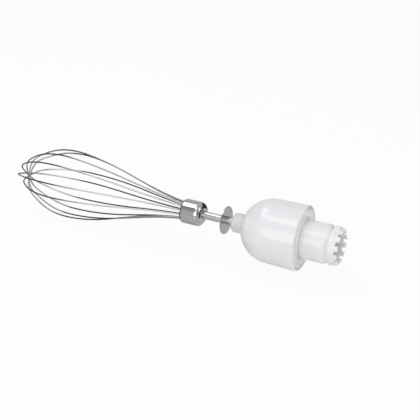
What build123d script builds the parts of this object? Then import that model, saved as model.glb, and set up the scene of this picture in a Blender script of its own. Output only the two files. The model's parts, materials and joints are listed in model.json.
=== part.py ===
from build123d import *
from math import acos, cos, degrees, pi, radians, sin, sqrt, tan
import os

os.makedirs("parts", exist_ok=True)

# Whisk attachment with its gearbox, in millimetres.
# The axis is X, the coupling end is at +X, and x = 0 is the plane of the shroud's rim.

# Shroud
shroud_radius = 24.0
shroud_wall = 1.8
shroud_draft = 0.25
shroud_straight = 23.7
nose_x = -46.0
case_depth = 18.0

# Neck and the toothed ring at its end
neck_radius = 14.2
neck_root_x = 0.8
neck_root_step = 0.4
neck_bore = 11.4
neck_end_x = 20.0
neck_chamfer = 2.4
neck_end_radius = 12.6
crown_ring_radius = 13.1
crown_ring_end_x = 27.6
crown_tooth_count = 12
crown_tooth_depth = 2.3
crown_gap_degrees = 13.0
crown_gap_phase = 25.0
lug_radius = 14.1
lug_start_x = 21.2
lug_end_x = 25.8
lug_centre_degrees = -17.0
lug_width_degrees = 66.0
lug_count = 2
stop_rib_degrees = 62.0
flange_thickness = 2.0

# Cover that closes the shroud's mouth round the neck
cover_recess = 0.25
cover_thickness = 1.6
cover_skirt_wall = 1.4
cover_hub_wall = 0.8
cover_hub_depth = 5.0
cover_fillet = 0.8
cover_rib_count = 6
bead_x = -6.0
bead_width = 1.6
bead_height = 0.5

# Gears
gear_module = 0.6
pressure_angle = 25.0
sun_teeth = 12
planet_teeth = 18
ring_teeth = sun_teeth + 2 * planet_teeth
planet_count = 3
first_planet_degrees = 90.0
addendum = 0.9
dedendum = 1.15
backlash = 0.07
gear_face = 6.0
ring_gear_width = 7.2
ring_gear_wall = 1.5

# Clearances
fixed_gap = 0.02
cover_gap = 0.15
running_gap = 0.05
end_play = 0.3

# Case inside the shroud
skirt_length = 4.8
case_wall = 1.75
ledge_width = 1.35
rib_count = 3
boss_circle = 19.4
boss_radius = 2.2
screw_radius = 1.25
screw_head_radius = 2.2
screw_head_height = 1.6
screw_length = 10.0
screw_count = 3
screw_phase = 30.0
key_width = 3.0
key_height = 0.7

# Carrier and the sleeve that holds the whisk
carrier_thickness = 3.0
plate_thickness = 1.5
pin_radius = 1.2
pillar_radius = 1.5
hub_radius = 6.2
collar_radius = 7.35
collar_nose_radius = 6.0
collar_front_x = -54.9
washer_thickness = 0.5
bush_flange = 1.2
bush_wall = 1.75
seal_width = 1.6

# Drive shaft and its socket
input_radius = 2.0
pinion_seat_radius = 1.6
input_bush_radius = 3.6
input_bush_length = 5.0
hub_tube_radius = 5.6
hub_tube_end_x = 4.0
socket_radius = 3.6
socket_outer = 6.8
socket_mouth_x = 21.0
socket_depth = 9.6
socket_slots = 3
slot_width = 1.5
slot_radius = 4.9

# Whisk shaft, disc and ferrule
shaft_radius = 3.0
drive_flat_length = 6.0
drive_end_radius = 2.8
drive_flat_width = 4.6
disc_x = -61.4
disc_radius = 10.7
disc_thickness = 0.8
ferrule_radius = 9.5
ferrule_wall = 0.6
ferrule_mouth_x = -97.2
ferrule_back_x = -80.3
ferrule_mouth_round = 1.5
ferrule_shoulder = 4.3
plug_length = 10.0

# Wire loops
wire_radius = 0.58
wire_sides = 6
root_radius = 6.0
balloon_radius = 27.0
balloon_start_x = -90.9
balloon_length = 158.1
loop_count = 6
tip_pitch = 1.2
# The balloon stands a little out of line with the shaft, in degrees up and towards -Y.
balloon_lean_up = 0.75
balloon_lean_side = 1.25
first_section_degrees = -25.0
# How far each section's middle stands off its even place round the ferrule, in degrees.
near_lean = (-3, 2, 1, 4, -3, 32)
far_lean = (18, 8, 3, 5, -7, 6)
# Where each loop lies in the stack at the tip, 0 outermost.
tip_order = (3, 2, 1, 0, 5, 4)
# How wide each section stands, as a share of the balloon's radius.
near_width = (0.99, 0.94, 1.01, 1.0, 1.01, 1.01)
far_width = (0.99, 0.99, 1.01, 1.0, 1.01, 1.01)


def turned(points, turn=360.0, start=0.0):
    """A solid of revolution about X from (x, radius) corners."""
    profile = make_face(Polyline(*points, close=True))
    solid = revolve(profile, axis=Axis.X, revolution_arc=turn)
    return Rot(X=start) * solid


def ring(x0, x1, outer, inner=0.0):
    """A plain ring or disc between two stations of the axis."""
    return turned([(x0, inner), (x1, inner), (x1, outer), (x0, outer)])


def round_rod(x0, x1, radius, at=(0.0, 0.0)):
    """A round bar along X, at the given y and z."""
    middle = ((x0 + x1) / 2, at[0], at[1])
    return Pos(*middle) * Rot(Y=90) * Cylinder(radius, abs(x1 - x0))


def place(radius, angle):
    """The y and z of a point at this radius, its angle counted from +Y towards +Z."""
    return radius * cos(radians(angle)), radius * sin(radians(angle))


def block(x0, x1, low, high, thickness, angle):
    """A radial web: it runs from radius low to high at this angle."""
    slab = Box(abs(x1 - x0), high - low, thickness)
    return Rot(X=angle) * Pos((x0 + x1) / 2, (low + high) / 2, 0) * slab


def even(count, start=0.0):
    """Angles of an even pattern round the axis."""
    return [start + k * 360.0 / count for k in range(count)]


def write(name, solid):
    """Write one piece to its own file."""
    export_step(solid, "parts/" + name + ".step")


def involute(angle):
    """The involute function, in radians."""
    return tan(angle) - angle


def half_tooth(radius, teeth, slack):
    """Half the angle of an external tooth at a radius, in radians."""
    pitch = gear_module * teeth / 2
    base = pitch * cos(radians(pressure_angle))
    at_pitch = (pi * gear_module / 2 - slack) / 2 / pitch
    here = 0.0 if radius <= base else acos(base / radius)
    return at_pitch + involute(radians(pressure_angle)) - involute(here)


def gear_outline(teeth, root, tip, slack, phase):
    """Corners of a toothed wheel in the YZ plane, with a tooth centred on the phase angle."""
    base = gear_module * teeth / 2 * cos(radians(pressure_angle))
    low = max(root, base)
    steps = [low + (tip - low) * k / 2 for k in range(3)]
    points = []
    for centre in even(teeth, phase):
        flank = [(r, half_tooth(r, teeth, slack)) for r in steps]
        if root < low - 0.02:
            flank.insert(0, (root, flank[0][1]))
        rising = [(r, radians(centre) - a) for r, a in flank]
        falling = [(r, radians(centre) + a) for r, a in reversed(flank)]
        points += [(r * cos(a), r * sin(a)) for r, a in rising + falling]
    return points


def toothed(teeth, x0, x1, root, tip, slack, phase):
    """A spur-toothed prism along X."""
    outline = gear_outline(teeth, root, tip, slack, phase)
    corners = [(x0, y, z) for y, z in outline]
    face = make_face(Polyline(*corners, close=True))
    return extrude(face, amount=x1 - x0, dir=(1, 0, 0))


# Stations along the axis, all derived from the sizes above.
case_mouth_x = -case_depth
flange_x = case_mouth_x - flange_thickness
screw_top_x = case_mouth_x + screw_head_height
ring_gear_x1 = flange_x - skirt_length
ring_gear_x0 = ring_gear_x1 - ring_gear_width
planet_x0 = (ring_gear_x0 + ring_gear_x1 - gear_face) / 2
planet_x1 = planet_x0 + gear_face
carrier_x1 = planet_x0 - end_play
carrier_x0 = carrier_x1 - carrier_thickness
plate_x0 = planet_x1 + end_play
plate_x1 = plate_x0 + plate_thickness
washer_x1 = carrier_x0 - 0.1
washer_x0 = washer_x1 - washer_thickness
bush_x1 = washer_x0 - 0.1
boss_face_x = bush_x1 - bush_flange
nose_lip_x = nose_x + 1.2
seal_x1 = nose_lip_x + seal_width + 0.1
collar_back_x = nose_x - end_play
hub_end_x = collar_front_x + 3.0
bore_end_x = carrier_x0 + 0.6
shaft_end_x = bore_end_x - 0.4
flat_end_x = bore_end_x - drive_flat_length
hub_tube_x0 = flange_x - flange_thickness
socket_back_x = hub_tube_end_x + end_play
socket_floor_x = socket_mouth_x - socket_depth
shaft_x1 = socket_floor_x - 0.8
cover_x1 = -cover_recess
cover_x0 = cover_x1 - cover_thickness
bead_x0 = bead_x - bead_width / 2
bead_x1 = bead_x + bead_width / 2

# Radii
sun_pitch = gear_module * sun_teeth / 2
planet_pitch = gear_module * planet_teeth / 2
ring_pitch = gear_module * ring_teeth / 2
orbit = sun_pitch + planet_pitch
rise = gear_module * addendum
fall = gear_module * dedendum
ring_gear_radius = ring_pitch + fall + ring_gear_wall
case_bore = ring_gear_radius + fixed_gap
case_radius = case_bore + case_wall
carrier_radius = ring_pitch - rise - 0.4
planet_angles = even(planet_count, first_planet_degrees)
screw_angles = even(screw_count, screw_phase)
key_angles = even(3, screw_phase + 60.0)
pillar_angles = even(planet_count, first_planet_degrees + 180.0 / planet_count)
pillar_circle = carrier_radius - pillar_radius - 0.4
shroud_inner = shroud_radius - shroud_wall - shroud_draft
skirt_radius = shroud_inner - cover_gap
bead_radius = skirt_radius + bead_height

# Shroud: a turned shell, its gear case, nose seat, screw bosses and ribs.
crown_x = -shroud_straight
crown_radius = shroud_radius - shroud_draft
nose_angle = degrees(acos((nose_x - crown_x) / crown_radius))


def bell_face(inset, end_angle, rim):
    """Half section of the bell, its skin drawn inset: a drafted wall, then a round crown."""
    edge = (0, shroud_radius - inset - rim)
    wall = Polyline(edge, (-abs(rim), shroud_radius - inset), (crown_x, crown_radius - inset))
    crown = CenterArc((crown_x, 0), crown_radius - inset, 90, end_angle - 90)
    end = crown @ 1
    return make_face([*wall.edges(), crown, Polyline(end, (end.X, 0), (0, 0), wall @ 0)])


bell = revolve(bell_face(0, nose_angle, 0.5), axis=Axis.X)
hollow = revolve(bell_face(shroud_wall, 170, -0.3), axis=Axis.X)
nose_bore = hub_radius + bush_wall + fixed_gap
nose_boss = nose_bore + 1.6

case = ring(flange_x, nose_x, case_radius, case_bore)
case += ring(ring_gear_x0, nose_x, case_bore + 0.01, case_bore - ledge_width)
case += ring(boss_face_x, nose_x, nose_boss)
for angle in screw_angles:
    case += round_rod(flange_x, nose_x, boss_radius, place(boss_circle, angle))
for angle in even(rib_count, screw_phase + 30.0):
    case += block(flange_x - 0.3, nose_x, case_radius - 0.3, shroud_radius, 1.2, angle)
for angle in even(rib_count):
    case += block(boss_face_x - 0.4, nose_x, nose_boss - 0.3, case_bore - ledge_width + 0.3, 1.2, angle)
shroud = (bell - hollow) + (case & hollow)
shroud -= ring(boss_face_x + 1, nose_lip_x, nose_bore)
shroud -= ring(nose_lip_x + 1, nose_x - 1, hub_radius + 0.35)
for angle in screw_angles:
    hole = place(boss_circle, angle)
    shroud -= round_rod(flange_x + 1, case_mouth_x - screw_length - 1.5, screw_radius + running_gap, hole)
for angle in key_angles:
    slot = (case_bore - 0.5, ring_gear_radius + key_height + fixed_gap)
    shroud -= block(flange_x + 1, ring_gear_x0, slot[0], slot[1], key_width + 0.1, angle)
shroud -= ring(bead_x0 - 0.1, bead_x1 + 0.1, bead_radius + 0.1, shroud_inner - 1)
write("shroud", shroud)

# Neck: tube, flange and skirt in one moulding, with the toothed ring on its end.
skirt_outer = case_bore - running_gap
skirt_inner = case_bore - ledge_width
neck_root_radius = neck_radius + neck_root_step
neck = turned([
    (case_mouth_x - 0.5, neck_bore), (crown_ring_end_x, neck_bore),
    (crown_ring_end_x, crown_ring_radius - 0.4), (crown_ring_end_x - 0.7, crown_ring_radius),
    (neck_end_x + 0.5, crown_ring_radius), (neck_end_x, neck_end_radius),
    (neck_end_x - neck_chamfer, neck_radius), (neck_root_x, neck_radius),
    (neck_root_x - 0.2, neck_root_radius), (case_mouth_x - 0.5, neck_root_radius)])
neck += ring(flange_x, case_mouth_x, skirt_radius)
neck += ring(ring_gear_x1 + running_gap, flange_x + 0.5, skirt_outer, skirt_inner)
neck += turned([
    (hub_tube_x0, 0), (hub_tube_end_x, 0), (hub_tube_end_x, hub_tube_radius - 0.5),
    (hub_tube_end_x - 0.5, hub_tube_radius), (hub_tube_x0, hub_tube_radius)])
for angle in even(6, screw_phase):
    neck += block(case_mouth_x - 0.5, hub_tube_end_x - 8.0, hub_tube_radius - 0.4,
                  neck_bore + 0.4, 1.4, angle)
lug_profile = [
    (lug_start_x, neck_bore + 0.5), (lug_start_x, lug_radius), (lug_end_x - 1.5, lug_radius),
    (lug_end_x, crown_ring_radius), (lug_end_x, neck_bore + 0.5)]
for angle in even(lug_count):
    # Angles of the ring are counted from +Z towards -Y, as seen from the whisk end.
    low = angle + lug_centre_degrees - lug_width_degrees / 2
    neck += Rot(X=90) * turned(lug_profile, lug_width_degrees, low)
    rib = block(neck_end_x + 0.3, lug_start_x + 1.0, neck_bore + 0.5, crown_ring_radius + 0.5, 1.4,
                90.0 + stop_rib_degrees + angle)
    neck += rib
gap_width = 2 * crown_ring_radius * sin(radians(crown_gap_degrees / 2))
for angle in even(crown_tooth_count, 90.0 + crown_gap_phase):
    neck -= block(crown_ring_end_x - crown_tooth_depth, crown_ring_end_x + 1,
                  neck_bore - 2.0, lug_radius + 2.0, gap_width, angle)
neck -= ring(hub_tube_x0 - 1, hub_tube_end_x + 1, input_radius + 0.5)
neck -= ring(hub_tube_x0 - 1, hub_tube_x0 + input_bush_length, input_bush_radius)
neck -= ring(hub_tube_end_x - input_bush_length, hub_tube_end_x + 1, input_bush_radius)
for angle in screw_angles:
    neck -= round_rod(flange_x - 1, case_mouth_x + 1, screw_radius + 0.2, place(boss_circle, angle))
    neck -= round_rod(case_mouth_x, screw_top_x + 0.4, screw_head_radius + 0.3,
                      place(boss_circle, angle))
write("neck", neck)

# Cover: a face level with the rim, a hub round the neck, and a skirt that stands on the neck's flange.
hub_bore = neck_root_radius + running_gap
hub_outer = hub_bore + cover_hub_wall
skirt_bore = skirt_radius - cover_skirt_wall
cover_radius = shroud_radius - shroud_wall - cover_gap
fillet_arc = CenterArc((cover_x1 + cover_fillet, hub_outer + cover_fillet), cover_fillet, 180, 90)
cover_face = [
    Line((cover_x1, cover_radius), fillet_arc @ 0), fillet_arc,
    Polyline(fillet_arc @ 1, (neck_root_x, hub_outer), (neck_root_x, hub_bore),
             (cover_x0 - cover_hub_depth, hub_bore), (cover_x0 - cover_hub_depth, hub_outer),
             (cover_x0, hub_outer), (cover_x0, skirt_bore), (case_mouth_x, skirt_bore),
             (case_mouth_x, skirt_radius), (cover_x0, skirt_radius), (cover_x0, cover_radius),
             (cover_x1, cover_radius))]
cover = revolve(make_face([edge for line in cover_face for edge in line.edges()]), axis=Axis.X)
cover += turned([
    (bead_x0, skirt_radius - 0.3), (bead_x0, skirt_radius), (bead_x0 + 0.4, bead_radius),
    (bead_x1 - 0.4, bead_radius), (bead_x1, skirt_radius), (bead_x1, skirt_radius - 0.3)])
for angle in even(cover_rib_count):
    cover += block(cover_x0 - cover_hub_depth + 1, cover_x0 + 0.3, hub_outer - 0.3,
                   skirt_bore + 0.3, 1.2, angle)
for angle in screw_angles:
    cover -= round_rod(case_mouth_x - 1, screw_top_x + 0.4, screw_head_radius + 0.3,
                       place(boss_circle, angle))
write("mouth_cover", cover)

# Screws that clamp the neck's flange on the case.
for k, angle in enumerate(screw_angles):
    centre = place(boss_circle, angle)
    tip_x = case_mouth_x - screw_length
    screw = turned([
        (tip_x - 1.0, 0), (screw_top_x, 0), (screw_top_x, screw_head_radius),
        (case_mouth_x, screw_head_radius), (case_mouth_x, screw_radius), (tip_x, screw_radius),
        (tip_x - 1.0, 0.4)])
    for turn in (0, 90):
        screw -= Rot(X=turn) * Pos(screw_top_x, 0, 0) * Box(1.8, 2.4, 0.6)
    write("case_screw_%d" % (k + 1), Pos(0, *centre) * screw)

# Ring gear: internal teeth, three keys that stop it turning in the case.
ring_gear = ring(ring_gear_x0, ring_gear_x1, ring_gear_radius)
for angle in key_angles:
    ring_gear += block(ring_gear_x0, ring_gear_x1, ring_gear_radius - 0.5,
                       ring_gear_radius + key_height, key_width, angle)
ring_cut = toothed(ring_teeth, ring_gear_x0 - 1, ring_gear_x1 + 1,
                   ring_pitch - rise, ring_pitch + fall, -backlash, 180.0 / ring_teeth)
ring_gear -= ring_cut
write("ring_gear", ring_gear)

# Sun gear on the drive shaft.
sun = toothed(sun_teeth, planet_x0, plate_x0, sun_pitch - fall, sun_pitch + rise, backlash, 0.0)
sun_bore = ring(planet_x0 - 1, plate_x0 + 1, pinion_seat_radius + fixed_gap)
sun_bore -= Pos(0, 0, pinion_seat_radius + 0.7 + fixed_gap) * Box(200, 10, 2.0)
sun -= sun_bore
write("sun_gear", sun)

# Planet gears: each in mesh with the sun and the ring at rest.
for k, angle in enumerate(planet_angles):
    centre = place(orbit, angle)
    phase = (0.5 + sun_teeth * angle / 360.0) * 360.0 / planet_teeth + angle + 180.0
    planet = toothed(planet_teeth, planet_x0, planet_x1, planet_pitch - fall,
                     planet_pitch + rise, backlash, phase)
    planet -= ring(planet_x0 - 1, planet_x1 + 1, pin_radius + running_gap)
    write("planet_gear_%d" % (k + 1), Pos(0, *centre) * planet)
    pin = turned([
        (carrier_x1 - 2.2, 0), (plate_x1, 0), (plate_x1, pin_radius - 0.25),
        (plate_x1 - 0.25, pin_radius), (carrier_x1 - 2.2, pin_radius)])
    write("planet_pin_%d" % (k + 1), Pos(0, *centre) * pin)

# Carrier: disc, pillars and the hollow hub that runs through the nose.
carrier = ring(carrier_x0, carrier_x1, carrier_radius)
carrier += turned([
    (hub_end_x, 0), (carrier_x0 + 0.5, 0), (carrier_x0 + 0.5, hub_radius),
    (hub_end_x + 0.5, hub_radius), (hub_end_x, hub_radius - 0.5)])
for angle in pillar_angles:
    centre = place(pillar_circle, angle)
    carrier += round_rod(carrier_x1 - 0.5, plate_x0, pillar_radius, centre)
    carrier += round_rod(plate_x0 - 0.5, plate_x1, pillar_radius - 0.6, centre)
for angle in planet_angles:
    carrier -= round_rod(carrier_x1 - 2.2, carrier_x1 + 1, pin_radius + fixed_gap, place(orbit, angle))
carrier -= ring(hub_end_x - 1, flat_end_x, shaft_radius + running_gap)
drive_bore = ring(flat_end_x - 1, bore_end_x, drive_end_radius + running_gap)
carrier -= drive_bore & Box(200, 20, drive_flat_width + 2 * running_gap)
write("carrier", carrier)

# Plate on the carrier's other side.
plate = ring(plate_x0, plate_x1, carrier_radius, sun_pitch + rise + 0.6)
for angle in pillar_angles:
    peg_hole = pillar_radius - 0.6 + fixed_gap
    plate -= round_rod(plate_x0 - 1, plate_x1 + 1, peg_hole, place(pillar_circle, angle))
for angle in planet_angles:
    plate -= round_rod(plate_x0 - 1, plate_x1 + 1, pin_radius + fixed_gap, place(orbit, angle))
write("carrier_plate", plate)

# Thrust washer, nose bush and shaft seal.
write("thrust_washer", ring(washer_x0, washer_x1, nose_boss - 0.3, hub_radius + 0.15))
nose_bush = ring(seal_x1, bush_x1, nose_bore - fixed_gap, hub_radius + running_gap)
nose_bush += ring(boss_face_x, bush_x1, nose_boss - 0.1, hub_radius + running_gap)
write("nose_bush", nose_bush)
seal_mid = (nose_lip_x + seal_x1) / 2
write("nose_seal", turned([
    (nose_lip_x, nose_bore - fixed_gap), (seal_x1, nose_bore - fixed_gap),
    (seal_x1, hub_radius + 0.6), (seal_x1 - 0.3, hub_radius + 0.25), (seal_mid, hub_radius + 0.7),
    (nose_lip_x + 0.3, hub_radius + running_gap), (nose_lip_x, hub_radius + 0.3)]))

# Collar pressed on the hub outside the nose.
collar = turned([
    (collar_front_x, 0), (collar_back_x, 0), (collar_back_x, collar_radius - 0.3),
    (collar_back_x - 0.3, collar_radius), (collar_front_x + 1.5, collar_radius),
    (collar_front_x + 0.5, collar_radius - 0.55), (collar_front_x, collar_nose_radius)])
collar -= ring(hub_end_x, collar_back_x + 1, hub_radius + fixed_gap)
collar -= turned([
    (collar_front_x - 1, 0), (hub_end_x + 1, 0), (hub_end_x + 1, shaft_radius + running_gap),
    (collar_front_x + 0.5, shaft_radius + running_gap), (collar_front_x, shaft_radius + 0.55),
    (collar_front_x - 1, shaft_radius + 1.55)])
write("output_collar", collar)

# Drive shaft, its two bushes, clip and socket.
clip_x1 = hub_tube_x0 - 0.1
clip_x0 = clip_x1 - 0.6
clip_seat = input_radius - 0.5
drive_shaft = turned([
    (planet_x0, 0), (shaft_x1, 0), (shaft_x1, input_radius - 0.4),
    (shaft_x1 - 0.4, input_radius), (clip_x1, input_radius), (clip_x1, clip_seat),
    (clip_x0, clip_seat), (clip_x0, input_radius), (plate_x0, input_radius),
    (plate_x0, pinion_seat_radius), (planet_x0, pinion_seat_radius)])
pinion_flat = Box(plate_x0 - planet_x0, 10, 2.0)
drive_shaft -= Pos((planet_x0 + plate_x0) / 2, 0, pinion_seat_radius + 0.7) * pinion_flat
drive_shaft -= Pos(shaft_x1, 0, input_radius + 0.5) * Box(2 * (shaft_x1 - socket_back_x), 10, 2.0)
write("drive_shaft", drive_shaft)
for name, x0 in (("shaft_bush_1", hub_tube_x0), ("shaft_bush_2", hub_tube_end_x - input_bush_length)):
    write(name, ring(x0, x0 + input_bush_length, input_bush_radius - fixed_gap, input_radius + running_gap))
clip = turned([
    (clip_x0 + 0.02, clip_seat + fixed_gap), (clip_x1 - 0.02, clip_seat + fixed_gap),
    (clip_x1 - 0.02, input_radius + 1.2), (clip_x0 + 0.02, input_radius + 1.2)], 270.0)
write("shaft_clip", clip)

socket = turned([
    (socket_back_x, 0), (socket_mouth_x, 0), (socket_mouth_x, socket_outer - 0.6),
    (socket_mouth_x - 0.6, socket_outer), (socket_mouth_x - 4.0, socket_outer),
    (socket_mouth_x - 5.0, socket_outer - 0.9), (socket_back_x + 1.5, socket_outer - 0.9),
    (socket_back_x + 1.5, socket_outer - 2.4), (socket_back_x, socket_outer - 2.4)])
socket -= turned([
    (socket_floor_x, 0), (socket_mouth_x + 1, 0), (socket_mouth_x + 1, socket_radius + 1.5),
    (socket_mouth_x - 0.5, socket_radius), (socket_floor_x, socket_radius)])
for angle in even(socket_slots, 90.0):
    socket -= block(socket_floor_x, socket_mouth_x + 1, 0, slot_radius, slot_width, angle)
shaft_hole = ring(socket_back_x - 1, socket_floor_x + 1, input_radius + fixed_gap)
shaft_hole -= Pos(0, 0, input_radius + 0.5 + fixed_gap) * Box(200, 10, 2.0)
socket -= shaft_hole
for angle in even(6, 30.0):
    rib_x1 = socket_mouth_x - 4.5
    socket += block(socket_back_x + 1.5, rib_x1, socket_outer - 1.4, socket_outer, 1.2, angle)
write("drive_socket", socket)

# Whisk shaft: flats at the drive end, a groove for the detent ring, a head inside the ferrule.
detent_x = flat_end_x - 4.5
detent_radius = 0.55
plug_x0 = ferrule_mouth_x + 2.6
plug_x1 = plug_x0 + plug_length
groove_seat = shaft_radius - 2 * detent_radius - 0.03
whisk_shaft = turned([
    (plug_x0 - 1.2, 0), (shaft_end_x, 0), (shaft_end_x, drive_end_radius - 0.6),
    (shaft_end_x - 0.6, drive_end_radius), (flat_end_x - 0.2, drive_end_radius),
    (flat_end_x - 0.2, shaft_radius), (detent_x + 0.6, shaft_radius),
    (detent_x + 0.6, groove_seat), (detent_x - 0.6, groove_seat), (detent_x - 0.6, shaft_radius),
    (plug_x0, shaft_radius), (plug_x0, shaft_radius + 1.0), (plug_x0 - 0.8, shaft_radius + 1.0),
    (plug_x0 - 1.2, shaft_radius + 0.6)])
for side in (1, -1):
    flat = Box(2 * (shaft_end_x - flat_end_x + 0.2), 20, 4.0)
    whisk_shaft -= Pos(shaft_end_x, 0, side * (drive_flat_width / 2 + 2.0)) * flat
write("whisk_shaft", whisk_shaft)
detent_edge = shaft_radius + 0.01
write("detent_ring", turned([
    (detent_x - detent_radius, groove_seat + fixed_gap), (detent_x + detent_radius, groove_seat + fixed_gap),
    (detent_x + detent_radius, detent_edge - 0.4), (detent_x + 0.2, detent_edge),
    (detent_x - 0.2, detent_edge), (detent_x - detent_radius, detent_edge - 0.4)], 320.0))

# Splash disc pressed on the shaft.
write("splash_disc", turned([
    (disc_x - disc_thickness / 2, shaft_radius + fixed_gap),
    (disc_x + disc_thickness / 2, shaft_radius + fixed_gap),
    (disc_x + disc_thickness / 2, disc_radius - 0.2), (disc_x + disc_thickness / 2 - 0.2, disc_radius),
    (disc_x - disc_thickness / 2 + 0.2, disc_radius), (disc_x - disc_thickness / 2, disc_radius - 0.2)]))

# Ferrule: a drawn cup with a rolled lip at the mouth and a round shoulder at the shaft.
lip_radius = ferrule_radius - ferrule_mouth_round
lip_x = ferrule_mouth_x + ferrule_mouth_round
shoulder_x = ferrule_back_x - ferrule_shoulder
lip_arc = CenterArc((lip_x, lip_radius), ferrule_mouth_round, 180, -90)
shoulder_arc = CenterArc((shoulder_x, ferrule_radius - ferrule_shoulder), ferrule_shoulder, 90, -90)
barrel = Line(lip_arc @ 1, shoulder_arc @ 0)
ends = Polyline(shoulder_arc @ 1, (ferrule_back_x, 0), (ferrule_mouth_x, 0), lip_arc @ 0)
cup = revolve(make_face([lip_arc, barrel, shoulder_arc, *ends.edges()]), axis=Axis.X)
cavity_radius = ferrule_radius - ferrule_wall
cavity_x = ferrule_back_x - ferrule_wall
ferrule = cup - turned([
    (ferrule_mouth_x - 1, 0), (ferrule_mouth_x - 1, lip_radius), (ferrule_mouth_x + 0.6, lip_radius),
    (lip_x, cavity_radius), (shoulder_x, cavity_radius), (cavity_x - 1.0, cavity_radius - 1.4),
    (cavity_x, cavity_radius - 4.0), (cavity_x, 0)])
ferrule -= ring(ferrule_back_x - 2, ferrule_back_x + 1, shaft_radius + fixed_gap)
write("ferrule", ferrule)

# Plug inside the ferrule, slotted for the wire ends.
plug_radius = cavity_radius - fixed_gap
# The wires' section is a polygon of the round wire's area, and this is its corners' radius.
wire_corner = wire_radius * sqrt(pi / (wire_sides * sin(2 * pi / wire_sides) / 2))
wire_slot = wire_corner + fixed_gap
plug = turned([
    (plug_x0, shaft_radius + fixed_gap), (plug_x1, shaft_radius + fixed_gap),
    (plug_x1, plug_radius - 0.8), (plug_x1 - 1.2, plug_radius), (plug_x0, plug_radius)])
section_angles = even(2 * loop_count, first_section_degrees)
for angle in section_angles:
    plug -= block(plug_x0 - 1, plug_x1 + 1, root_radius - wire_slot, ferrule_radius + 1,
                  2 * wire_slot, 90.0 + angle)
write("wire_plug", plug)

# Wire loops: each leaves the ferrule, swells to the balloon, crosses at the tip and comes back.
peak = 1.152 * balloon_radius
profile_points = (
    (0.0, root_radius), (0.17, 0.257 * peak), (0.44, 0.717 * peak), (0.79, peak),
    (0.96, 0.575 * peak), (1.0, 0.35 * peak), (1.0, 0.0))
knots = (0, 0, 0, 0, 0.25, 0.5, 0.75, 1, 1, 1, 1)


def weight(i, degree, t):
    """One B-spline basis function on the clamped knots."""
    if degree == 0:
        last = knots[i + 1] == 1 and knots[i] < 1 and t == 1
        return 1.0 if knots[i] <= t < knots[i + 1] or last else 0.0
    total = 0.0
    if knots[i + degree] > knots[i]:
        total += (t - knots[i]) / (knots[i + degree] - knots[i]) * weight(i, degree - 1, t)
    if knots[i + degree + 1] > knots[i + 1]:
        share = (knots[i + degree + 1] - t) / (knots[i + degree + 1] - knots[i + 1])
        total += share * weight(i + 1, degree - 1, t)
    return total


def ease(u):
    """A smooth step from 0 to 1."""
    u = min(max(u, 0.0), 1.0)
    return u * u * (3 - 2 * u)


def section_point(t, length, width, root, middle, tip):
    """A point of one section: t runs from the ferrule to the tip, angles are from +Z towards -Y."""
    along = sum(weight(i, 3, t) * p[0] for i, p in enumerate(profile_points))
    radius = sum(weight(i, 3, t) * p[1] for i, p in enumerate(profile_points))
    radius *= 1 + (width - 1) * ease(t / 0.3)
    angle = root + (middle - root) * ease(t / 0.45) + (tip - middle) * ease((t - 0.7) / 0.3)
    x = balloon_start_x - along * length
    free = max(0.0, ferrule_mouth_x - x)
    y = -radius * sin(radians(angle)) - free * tan(radians(balloon_lean_side))
    z = radius * cos(radians(angle)) + free * tan(radians(balloon_lean_up))
    return x, y, z


def section_heading(t, shape):
    """The direction of a section at t, towards the tip."""
    step = 0.0001
    ahead = Vector(*section_point(min(t + step, 1.0), *shape))
    behind = Vector(*section_point(max(t - step, 0.0), *shape))
    return (ahead - behind).normalized()


def two_arcs(start, start_heading, end, end_heading):
    """Two arcs in space, tangent to each other and to the headings at both ends."""
    chord = end - start
    headings = start_heading + end_heading
    turn = 2 * (1 - start_heading.dot(end_heading))
    along = chord.dot(headings)
    reach = (sqrt(along * along + turn * chord.dot(chord)) - along) / turn
    first = start + start_heading * reach
    second = end - end_heading * reach
    middle = (first + second) * 0.5
    heading = second - first
    return [TangentArc(start, middle, tangent=start_heading), TangentArc(middle, end, tangent=heading)]


steps = (0.0, 0.2, 0.4, 0.6, 0.8, 1.0)
wire_end_x = plug_x1 - 0.4
for k in range(loop_count):
    roots = (section_angles[k], section_angles[k] + 180.0)
    leans = (near_lean[k], far_lean[k])
    middles = (roots[0] + leans[0], roots[1] + leans[1])
    mean = (middles[0] + middles[1] - 180.0) / 2
    length = balloon_length + ((loop_count - 1) / 2 - tip_order[k]) * tip_pitch
    out = (length, near_width[k], roots[0], middles[0], mean)
    back = (length, far_width[k], roots[1], middles[1], mean + 180.0)
    points = [Vector(*section_point(t, *out)) for t in steps]
    points += [Vector(*section_point(t, *back)) for t in reversed(steps[:-1])]
    headings = [section_heading(t, out) for t in steps]
    headings += [section_heading(t, back) * -1 for t in reversed(steps[:-1])]
    headings[0] = Vector(-1, 0, 0)
    headings[-1] = Vector(1, 0, 0)
    ends = [Vector(wire_end_x, p.Y, p.Z) for p in (points[0], points[-1])]
    route = [Line(ends[0], points[0])]
    for i in range(len(points) - 1):
        route += two_arcs(points[i], headings[i], points[i + 1], headings[i + 1])
    route.append(Line(points[-1], ends[1]))
    section = Plane(origin=ends[0], z_dir=(-1, 0, 0)) * RegularPolygon(wire_corner, wire_sides)
    loop = sweep(section, path=Wire([piece.edge() for piece in route]))
    write("wire_loop_%d" % (k + 1), loop)
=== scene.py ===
import json
from math import cos, pi, radians, sin, tan

import bpy
from mathutils import Matrix, Vector


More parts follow.
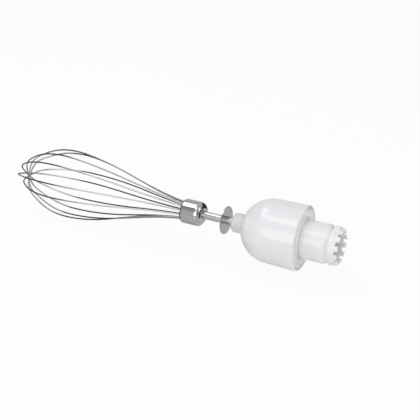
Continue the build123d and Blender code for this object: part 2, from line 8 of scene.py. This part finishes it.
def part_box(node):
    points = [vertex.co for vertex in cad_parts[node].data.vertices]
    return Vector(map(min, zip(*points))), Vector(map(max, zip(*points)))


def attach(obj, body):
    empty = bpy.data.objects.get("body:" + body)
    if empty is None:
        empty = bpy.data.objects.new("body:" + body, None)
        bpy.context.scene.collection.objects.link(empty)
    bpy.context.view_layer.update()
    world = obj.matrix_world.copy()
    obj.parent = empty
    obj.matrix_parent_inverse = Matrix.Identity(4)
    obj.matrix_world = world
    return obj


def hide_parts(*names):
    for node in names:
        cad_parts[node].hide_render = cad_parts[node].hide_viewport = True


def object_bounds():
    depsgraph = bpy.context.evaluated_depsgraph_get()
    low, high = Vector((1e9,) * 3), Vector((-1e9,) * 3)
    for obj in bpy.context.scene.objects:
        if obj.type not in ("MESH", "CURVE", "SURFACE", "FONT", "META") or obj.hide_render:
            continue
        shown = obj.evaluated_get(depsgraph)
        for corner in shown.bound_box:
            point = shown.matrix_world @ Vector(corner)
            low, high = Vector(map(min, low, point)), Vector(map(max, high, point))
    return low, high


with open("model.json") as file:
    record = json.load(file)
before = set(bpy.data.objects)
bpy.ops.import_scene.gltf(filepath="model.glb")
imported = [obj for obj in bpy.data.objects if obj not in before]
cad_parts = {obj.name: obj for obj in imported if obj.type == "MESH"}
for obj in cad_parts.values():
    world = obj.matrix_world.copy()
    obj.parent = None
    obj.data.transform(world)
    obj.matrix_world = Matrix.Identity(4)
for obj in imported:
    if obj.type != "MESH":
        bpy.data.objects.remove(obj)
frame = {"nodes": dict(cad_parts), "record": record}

cad_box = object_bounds()
nodes = frame["nodes"]
MM = 0.001

# Stations in metres. The axis is X and the coupling end is at +X.
ferrule_mouth_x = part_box("ferrule")[0].x

# The balloon leans a little, so the floor lies low enough for it to turn a full round.
floor_drop = 0.0048
floor_z = cad_box[0][2] - floor_drop
floor_size = 12.0

# The camera, worked out from circles and wires of the real object.
camera_place = Vector((128.9, -392.8, 224.9)) * MM
camera_right = Vector((0.88741, 0.46098, 0.0))
camera_up = Vector((-0.20482, 0.39428, 0.89588))
camera_lens = 56.3
camera_sensor = 36.0

# Soft panels stand round the object's axis. Each has the x of its middle, its place in degrees from
# overhead towards the camera, its distance, its length along X, its height, and its brightness.
overhead_panel = (-0.66, -1.0, 0.95, 0.52, 0.70, 2.3)
bell_panel = (-0.14, 18.0, 0.95, 0.52, 0.34, 1.9)
front_panel = (0.10, 72.0, 1.05, 1.10, 0.62, 1.8)

# A tall panel beyond the coupling end: the place of its middle, its height, width and brightness.
end_panel = ((0.95, 0.10, 0.55), 1.50, 0.44, 1.5)

# How bright the room is as a lamp, in metal, and behind the object.
world_level = 0.60
mirrored_world_level = 0.78
seen_world_level = 0.97
# How much of the floor that the camera sees is plain white, the rest being its lit surface.
seen_floor_share = 0.92
floor_shade = 0.8
white = (1.0, 1.0, 1.0, 1.0)

# Cards that only shiny surfaces mirror. Each has the place of its middle, its turns in degrees, its two
# sizes, and its brightness at the two edges of the second size.
cards = {
    "ferrule_card": ((-0.66, -0.689, 0.579), (50.0, 0.0, 0.0), (0.52, 1.08), (0.92, 0.32)),
    "front_low_card": ((-0.58, -1.0, -0.48), (90.0, 0.0, 0.0), (0.36, 0.68), (0.84, 0.90)),
    "back_card": ((0.55, 1.0, 0.03), (90.0, 0.0, 0.0), (1.30, 1.04), (0.06, 0.06)),
    "window_top_card": ((0.04, -0.98, 0.90), (90.0, 0.0, 0.0), (0.52, 0.62), (2.1, 1.6)),
    "window_foot_card": ((0.0, -0.98, -0.42), (90.0, 0.0, 0.0), (0.40, 0.56), (1.15, 1.6)),
    "end_card": ((0.70, -0.54, 0.28), (0.0, 90.0, 0.0), (0.46, 0.42), (0.04, 0.04)),
    "tip_card": ((-0.50, 0.06, 0.0), (0.0, 90.0, 0.0), (0.20, 0.22), (0.9, 0.9)),
    "low_back_card": ((-0.50, 0.35, -0.70), (0.0, 0.0, 0.0), (0.55, 1.10), (0.66, 0.50)),
    "side_card": ((-0.55, -0.255, 0.0), (0.0, 90.0, 0.0), (1.32, 0.81), (0.13, 0.13)),
    "side_back_card": ((-0.55, 0.45, 0.0), (0.0, 90.0, 0.0), (1.32, 0.60), (0.13, 0.80)),
    "lower_card": ((0.45, 0.0, -0.80), (0.0, 0.0, 0.0), (2.60, 3.00), (0.84, 0.84)),
}


# Studio

def round_axis(x, degrees, distance):
    """The place and the turn of a panel that faces the axis."""
    angle = radians(degrees)
    return (x, -distance * sin(angle), distance * cos(angle)), (angle, 0.0, 0.0)


def add_camera():
    """The camera, placed and turned as the values above say."""
    bpy.ops.object.camera_add(location=camera_place)
    camera = bpy.context.object
    back = camera_right.cross(camera_up)
    turn = Matrix((camera_right, camera_up, back)).transposed()
    camera.rotation_euler = turn.to_euler()
    camera.data.sensor_width = camera_sensor
    camera.data.lens = camera_lens
    camera.data.clip_start = 0.01
    camera.data.clip_end = 50.0
    bpy.context.scene.camera = camera


def add_panel(name, x, degrees, distance, length, height, brightness):
    """A soft rectangular lamp of even brightness."""
    place, turn = round_axis(x, degrees, distance)
    bpy.ops.object.light_add(type="AREA", location=place, rotation=turn)
    lamp = bpy.context.object
    lamp.name = name
    lamp.data.shape = "RECTANGLE"
    lamp.data.size = length
    lamp.data.size_y = height
    lamp.data.energy = brightness * pi * length * height


def add_end_panel(place, height, width, brightness):
    """A tall soft lamp that faces along the axis from beyond the coupling end."""
    bpy.ops.object.light_add(type="AREA", location=place, rotation=(0.0, radians(90.0), 0.0))
    lamp = bpy.context.object
    lamp.name = "end_panel"
    lamp.data.shape = "RECTANGLE"
    lamp.data.size = height
    lamp.data.size_y = width
    lamp.data.energy = brightness * pi * height * width


def add_card(name, place, turn, size, shades):
    """A card beside the set that only shiny surfaces mirror, shaded from edge to edge."""
    turn = [radians(degrees) for degrees in turn]
    bpy.ops.mesh.primitive_plane_add(size=1.0, location=place, rotation=turn)
    card = bpy.context.object
    card.name = name
    card.scale = (*size, 1.0)
    card.visible_camera = False
    card.visible_diffuse = False
    card.visible_shadow = False
    card.visible_transmission = False
    material = bpy.data.materials.new(name)
    material.use_nodes = True
    tree = material.node_tree
    tree.nodes.clear()
    where = tree.nodes.new("ShaderNodeTexCoord")
    split = tree.nodes.new("ShaderNodeSeparateXYZ")
    tree.links.new(where.outputs["Object"], split.inputs[0])
    shade = between(tree, split.outputs["Y"], *shades, -0.5, 0.5)
    glow = tree.nodes.new("ShaderNodeEmission")
    tree.links.new(shade, glow.inputs["Strength"])
    output = tree.nodes.new("ShaderNodeOutputMaterial")
    tree.links.new(glow.outputs[0], output.inputs["Surface"])
    card.data.materials.append(material)


def combine(tree, operation, first, second):
    """Two sockets through one maths operation, as a socket. The second may be a plain number."""
    node = tree.nodes.new("ShaderNodeMath")
    node.operation = operation
    tree.links.new(first, node.inputs[0])
    if isinstance(second, float):
        node.inputs[1].default_value = second
    else:
        tree.links.new(second, node.inputs[1])
    return node.outputs[0]


def add_world():
    """An even pale room that shows as white behind the object and a little darker in metal."""
    world = bpy.data.worlds.new("pale_room")
    world.use_nodes = True
    tree = world.node_tree
    background = tree.nodes["Background"]
    background.inputs["Color"].default_value = white
    rays = tree.nodes.new("ShaderNodeLightPath").outputs
    mirrored = combine(tree, "MAXIMUM", rays["Is Glossy Ray"], rays["Is Transmission Ray"])
    in_metal = between(tree, mirrored, world_level, mirrored_world_level, 0.0, 1.0)
    seen = combine(tree, "MULTIPLY", rays["Is Camera Ray"], seen_world_level - world_level)
    tree.links.new(combine(tree, "ADD", in_metal, seen), background.inputs["Strength"])
    bpy.context.scene.world = world


def add_floor():
    """A plain pale floor, white to the camera but for a soft shadow. Metal mirrors the lower card instead."""
    bpy.ops.mesh.primitive_plane_add(size=floor_size, location=(0.0, 0.0, floor_z))
    floor = bpy.context.object
    floor.name = "floor"
    floor.visible_glossy = False
    material = bpy.data.materials.new("floor")
    material.use_nodes = True
    tree = material.node_tree
    shader = tree.nodes["Principled BSDF"]
    shader.inputs["Base Color"].default_value = (floor_shade, floor_shade, floor_shade, 1.0)
    shader.inputs["Roughness"].default_value = 1.0
    shader.inputs["Specular IOR Level"].default_value = 0.0
    rays = tree.nodes.new("ShaderNodeLightPath").outputs
    seen = combine(tree, "MAXIMUM", rays["Is Camera Ray"], rays["Is Glossy Ray"])
    seen = combine(tree, "MAXIMUM", seen, rays["Is Transmission Ray"])
    share = combine(tree, "MULTIPLY", seen, seen_floor_share)
    glow = tree.nodes.new("ShaderNodeEmission")
    glow.inputs["Color"].default_value = white
    mix = tree.nodes.new("ShaderNodeMixShader")
    tree.links.new(share, mix.inputs["Fac"])
    tree.links.new(shader.outputs[0], mix.inputs[1])
    tree.links.new(glow.outputs[0], mix.inputs[2])
    tree.links.new(mix.outputs[0], tree.nodes["Material Output"].inputs["Surface"])
    floor.data.materials.append(material)


# Finishes

# Scales of the patterns: at 1000 a pattern has about one patch to a millimetre.
cloud_scale = 45.0
polish_scale = 260.0
ripple_scale = 700.0
worn_scale = 150.0
turned_scale = 5200.0
ferrule_scale = 2600.0
drawn_scale = 90.0
speckle_scale = 2400.0
pore_scale = 3200.0
bloom_scale = 600.0
grain_scale = 2600.0
# The turned rings' pattern is fine along the axis and hardly changes across it.
ring_stretch = (1.0, 0.02, 0.02)
# Depths of the relief, in metres, and how far light goes into the milky plastic.
speckle_depth = 0.000002
pore_depth = 0.00002
grain_depth = 0.00001
milk_depth = 0.004
# How much of the glancing reflection drawn metal keeps.
edge_tint = (0.5, 0.5, 0.5, 1.0)


def new_finish(name, roughness, metallic=0.0, specular=0.5):
    """A new material with its shader's plain values set."""
    material = bpy.data.materials.new(name)
    material.use_nodes = True
    shader = material.node_tree.nodes["Principled BSDF"]
    shader.inputs["Roughness"].default_value = roughness
    shader.inputs["Metallic"].default_value = metallic
    shader.inputs["Specular IOR Level"].default_value = specular
    return material, material.node_tree, shader


def place_on(tree, stretch=(1.0, 1.0, 1.0)):
    """Object coordinates, scaled along the axes, as a socket."""
    where = tree.nodes.new("ShaderNodeTexCoord")
    mapping = tree.nodes.new("ShaderNodeMapping")
    mapping.inputs["Scale"].default_value = stretch
    tree.links.new(where.outputs["Object"], mapping.inputs["Vector"])
    return mapping.outputs["Vector"]


def mottle(tree, place, scale, detail=3.0):
    """A noise pattern at a scale, as a socket."""
    noise = tree.nodes.new("ShaderNodeTexNoise")
    noise.inputs["Scale"].default_value = scale
    noise.inputs["Detail"].default_value = detail
    tree.links.new(place, noise.inputs["Vector"])
    return noise.outputs["Fac"]


def between(tree, pattern, low, high, start=0.3, end=0.7):
    """Turn a pattern into values between low and high, as a socket."""
    span = tree.nodes.new("ShaderNodeMapRange")
    span.inputs["From Min"].default_value = start
    span.inputs["From Max"].default_value = end
    span.inputs["To Min"].default_value = low
    span.inputs["To Max"].default_value = high
    tree.links.new(pattern, span.inputs["Value"])
    return span.outputs["Result"]


def blend_colours(tree, pattern, first, second):
    """Mix two colours by a pattern, as a socket."""
    mix = tree.nodes.new("ShaderNodeMix")
    mix.data_type = "RGBA"
    mix.inputs["A"].default_value = (*first, 1.0)
    mix.inputs["B"].default_value = (*second, 1.0)
    tree.links.new(pattern, mix.inputs["Factor"])
    return mix.outputs["Result"]


def relief(tree, pattern, depth, shader):
    """Raise the surface by a pattern, depth in metres."""
    bump = tree.nodes.new("ShaderNodeBump")
    bump.inputs["Strength"].default_value = 1.0
    bump.inputs["Distance"].default_value = depth
    tree.links.new(pattern, bump.inputs["Height"])
    tree.links.new(bump.outputs["Normal"], shader.inputs["Normal"])


def moulded(name, colour, shadow_colour, roughness, ripple=0.000006, milk=0.0):
    """Moulded plastic: a faintly clouded colour, polish that varies, a slight ripple, some milkiness."""
    material, tree, shader = new_finish(name, roughness)
    shader.inputs["Subsurface Weight"].default_value = milk
    shader.inputs["Subsurface Scale"].default_value = milk_depth
    shader.inputs["Subsurface Radius"].default_value = (1.0, 1.0, 1.0)
    place = place_on(tree)
    cloud = between(tree, mottle(tree, place, cloud_scale), 0.0, 1.0)
    tree.links.new(blend_colours(tree, cloud, colour, shadow_colour), shader.inputs["Base Color"])
    polish = between(tree, mottle(tree, place, polish_scale), roughness * 0.85, roughness * 1.2)
    tree.links.new(polish, shader.inputs["Roughness"])
    relief(tree, mottle(tree, place, ripple_scale, 2.0), ripple, shader)
    return material


def turned_metal(name, colour, worn_colour, roughness, groove_scale=turned_scale, groove_depth=0.0000015):
    """Metal turned on a lathe: fine rings round the axis, broken by worn patches."""
    material, tree, shader = new_finish(name, roughness, metallic=1.0)
    rings = place_on(tree, ring_stretch)
    place = place_on(tree)
    patches = between(tree, mottle(tree, place, worn_scale, 5.0), 0.0, 1.0)
    tree.links.new(blend_colours(tree, patches, colour, worn_colour), shader.inputs["Base Color"])
    ring_pattern = mottle(tree, rings, groove_scale, 2.0)
    polish = between(tree, ring_pattern, roughness * 0.7, roughness * 1.4)
    tree.links.new(polish, shader.inputs["Roughness"])
    relief(tree, ring_pattern, groove_depth, shader)
    return material


def drawn_metal(name, colour, worn_colour, roughness):
    """Drawn wire and spring steel: fine speckle and faint worn patches."""
    material, tree, shader = new_finish(name, roughness, metallic=1.0)
    shader.inputs["Specular Tint"].default_value = edge_tint
    place = place_on(tree)
    patches = between(tree, mottle(tree, place, drawn_scale, 4.0), 0.0, 1.0)
    tree.links.new(blend_colours(tree, patches, colour, worn_colour), shader.inputs["Base Color"])
    speckle = mottle(tree, place, speckle_scale, 2.0)
    tree.links.new(between(tree, speckle, roughness * 0.8, roughness * 1.3), shader.inputs["Roughness"])
    relief(tree, speckle, speckle_depth, shader)
    return material


def porous_metal(name, colour, dark_colour, roughness):
    """Sintered bronze: fine open pores."""
    material, tree, shader = new_finish(name, roughness, metallic=1.0)
    place = place_on(tree)
    pores = between(tree, mottle(tree, place, pore_scale, 2.0), 0.0, 1.0, 0.55, 0.7)
    tree.links.new(blend_colours(tree, pores, colour, dark_colour), shader.inputs["Base Color"])
    tree.links.new(between(tree, pores, roughness, 0.8, 0.0, 1.0), shader.inputs["Roughness"])
    relief(tree, between(tree, pores, 1.0, 0.0, 0.0, 1.0), pore_depth, shader)
    return material


def rubber(name, colour, dusty_colour, roughness):
    """Soft black rubber with a dusty bloom."""
    material, tree, shader = new_finish(name, roughness, specular=0.3)
    place = place_on(tree)
    bloom = between(tree, mottle(tree, place, bloom_scale, 4.0), 0.0, 1.0)
    tree.links.new(blend_colours(tree, bloom, colour, dusty_colour), shader.inputs["Base Color"])
    relief(tree, mottle(tree, place, grain_scale, 2.0), grain_depth, shader)
    return material


# Each finish has its kind, name, two colours and roughness, and where needed its relief and milkiness.
finish_list = (
    (moulded, "shroud_plastic", (0.76, 0.76, 0.785), (0.74, 0.74, 0.765), 0.06, 0.0000015, 0.15),
    (moulded, "neck_plastic", (0.775, 0.775, 0.79), (0.755, 0.755, 0.77), 0.20, 0.000002, 0.8),
    (moulded, "collar_plastic", (0.63, 0.63, 0.615), (0.60, 0.60, 0.585), 0.40),
    (moulded, "gear_plastic", (0.78, 0.77, 0.73), (0.74, 0.73, 0.69), 0.42),
    (moulded, "socket_plastic", (0.40, 0.40, 0.41), (0.36, 0.36, 0.37), 0.45),
    (moulded, "plug_plastic", (0.16, 0.16, 0.16), (0.12, 0.12, 0.12), 0.50),
    (turned_metal, "turned_steel", (0.54, 0.54, 0.53), (0.48, 0.48, 0.475), 0.26),
    (turned_metal, "disc_steel", (0.42, 0.42, 0.42), (0.38, 0.38, 0.38), 0.16),
    (turned_metal, "ferrule_steel", (0.44, 0.44, 0.44), (0.42, 0.42, 0.42), 0.07, ferrule_scale, 0.0000004),
    (drawn_metal, "spring_steel", (0.42, 0.42, 0.43), (0.36, 0.36, 0.37), 0.25),
    (drawn_metal, "wire_steel", (0.45, 0.45, 0.45), (0.38, 0.38, 0.38), 0.12),
    (porous_metal, "bush_bronze", (0.62, 0.42, 0.20), (0.20, 0.12, 0.05), 0.38),
    (rubber, "seal_rubber", (0.03, 0.03, 0.03), (0.07, 0.07, 0.07), 0.65),
)
finishes = {name: make(name, *values) for make, name, *values in finish_list}


def finish_nodes():
    """Give every CAD node the finish of its material slot."""
    slot_of = {}
    for subpart in frame["record"]["subparts"]:
        slot_of[subpart["node"]] = subpart["material_slot"]
    for name, node in nodes.items():
        node.data.materials.clear()
        node.data.materials.append(finishes[slot_of[name]])


# Wire loops, round ones on the same routes as the six-sided wires that they stand for. Sizes are in
# millimetres, and angles in degrees are counted from +Z towards -Y.
wire_radius = 0.58
root_radius = 6.0
balloon_radius = 27.0
balloon_start_x = -90.9
balloon_length = 158.1
tip_pitch = 1.2
balloon_lean_up = 0.75
balloon_lean_side = 1.25
first_section_degrees = -25.0
# How far each section's middle stands off its even place round the ferrule.
near_lean = (-3, 2, 1, 4, -3, 32)
far_lean = (18, 8, 3, 5, -7, 6)
# Where each loop lies in the stack at the tip, 0 outermost.
tip_order = (3, 2, 1, 0, 5, 4)
# How wide each section stands, as a share of the balloon's radius.
near_width = (0.99, 0.94, 1.01, 1.0, 1.01, 1.01)
far_width = (0.99, 0.99, 1.01, 1.0, 1.01, 1.01)
loop_count = len(tip_order)
# The control points of a section's profile: share of the length, and distance from the axis.
peak = 1.152 * balloon_radius
profile_points = (
    (0.0, root_radius), (0.17, 0.257 * peak), (0.44, 0.717 * peak), (0.79, peak),
    (0.96, 0.575 * peak), (1.0, 0.35 * peak), (1.0, 0.0))
knots = (0, 0, 0, 0, 0.25, 0.5, 0.75, 1, 1, 1, 1)
degree = 3
# Shares of a section over which it takes its width, takes its lean, and turns to the tip.
width_share = 0.3
lean_share = 0.45
tip_share = 0.3
section_steps = 64
# Blender's bevel resolution for the wires, and the sharpest turn that is still shaded smooth.
wire_roundness = 3
smooth_degrees = 40.0


def weight(i, order, t):
    """One B-spline basis function on the clamped knots."""
    if order == 0:
        last = knots[i + 1] == 1 and knots[i] < 1 and t == 1
        return 1.0 if knots[i] <= t < knots[i + 1] or last else 0.0
    total = 0.0
    if knots[i + order] > knots[i]:
        total += (t - knots[i]) / (knots[i + order] - knots[i]) * weight(i, order - 1, t)
    if knots[i + order + 1] > knots[i + 1]:
        share = (knots[i + order + 1] - t) / (knots[i + order + 1] - knots[i + 1])
        total += share * weight(i + 1, order - 1, t)
    return total


def ease(u):
    """A smooth step from 0 to 1."""
    u = min(max(u, 0.0), 1.0)
    return u * u * (3 - 2 * u)


def section_point(t, length, width, root, middle, tip):
    """A point of one section, with t from 0 at the ferrule to 1 at the tip."""
    along = sum(weight(i, degree, t) * p[0] for i, p in enumerate(profile_points))
    radius = sum(weight(i, degree, t) * p[1] for i, p in enumerate(profile_points))
    radius *= 1 + (width - 1) * ease(t / width_share)
    leaned = (middle - root) * ease(t / lean_share)
    turned_in = (tip - middle) * ease((t - 1 + tip_share) / tip_share)
    angle = radians(root + leaned + turned_in)
    x = balloon_start_x - along * length
    free = max(0.0, ferrule_mouth_x / MM - x)
    y = -radius * sin(angle) - free * tan(radians(balloon_lean_side))
    z = radius * cos(angle) + free * tan(radians(balloon_lean_up))
    return Vector((x, y, z)) * MM


def loop_route(k):
    """The route of one loop, from its end in the ferrule round the tip and back."""
    near_root = first_section_degrees + k * 180.0 / loop_count
    far_root = near_root + 180.0
    near_middle = near_root + near_lean[k]
    far_middle = far_root + far_lean[k]
    tip = (near_middle + far_middle - 180.0) / 2
    length = balloon_length + ((loop_count - 1) / 2 - tip_order[k]) * tip_pitch
    steps = [i / section_steps for i in range(section_steps + 1)]
    out = [section_point(t, length, near_width[k], near_root, near_middle, tip) for t in steps]
    back = [section_point(t, length, far_width[k], far_root, far_middle, tip + 180.0) for t in steps]
    start_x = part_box("wire_loop_%d" % (k + 1))[1].x
    route = out + back[-2::-1]
    first = Vector((start_x, route[0].y, route[0].z))
    last = Vector((start_x, route[-1].y, route[-1].z))
    return [first] + route + [last]


def wire_loop(k):
    """One round wire loop, swept along its route."""
    route = loop_route(k)
    name = "round_wire_%d" % (k + 1)
    curve = bpy.data.curves.new(name, "CURVE")
    curve.dimensions = "3D"
    curve.bevel_depth = wire_radius * MM
    curve.bevel_resolution = wire_roundness
    curve.use_fill_caps = True
    spline = curve.splines.new("POLY")
    spline.points.add(len(route) - 1)
    for point, place in zip(spline.points, route):
        point.co = (*place, 1.0)
    wire = bpy.data.objects.new(name, curve)
    bpy.context.scene.collection.objects.link(wire)
    bpy.ops.object.select_all(action="DESELECT")
    wire.select_set(True)
    bpy.context.view_layer.objects.active = wire
    bpy.ops.object.convert(target="MESH")
    wire = bpy.context.object
    bpy.ops.object.shade_smooth_by_angle(angle=radians(smooth_degrees))
    wire.data.materials.clear()
    wire.data.materials.append(finishes["wire_steel"])
    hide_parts("wire_loop_%d" % (k + 1))
    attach(wire, "whisk")


finish_nodes()
for k in range(loop_count):
    wire_loop(k)

add_world()
add_floor()
add_panel("overhead_panel", *overhead_panel)
add_panel("bell_panel", *bell_panel)
add_panel("front_panel", *front_panel)
add_end_panel(*end_panel)
for name, card in cards.items():
    add_card(name, *card)
add_camera()
bpy.context.scene.view_settings.view_transform = "Standard"
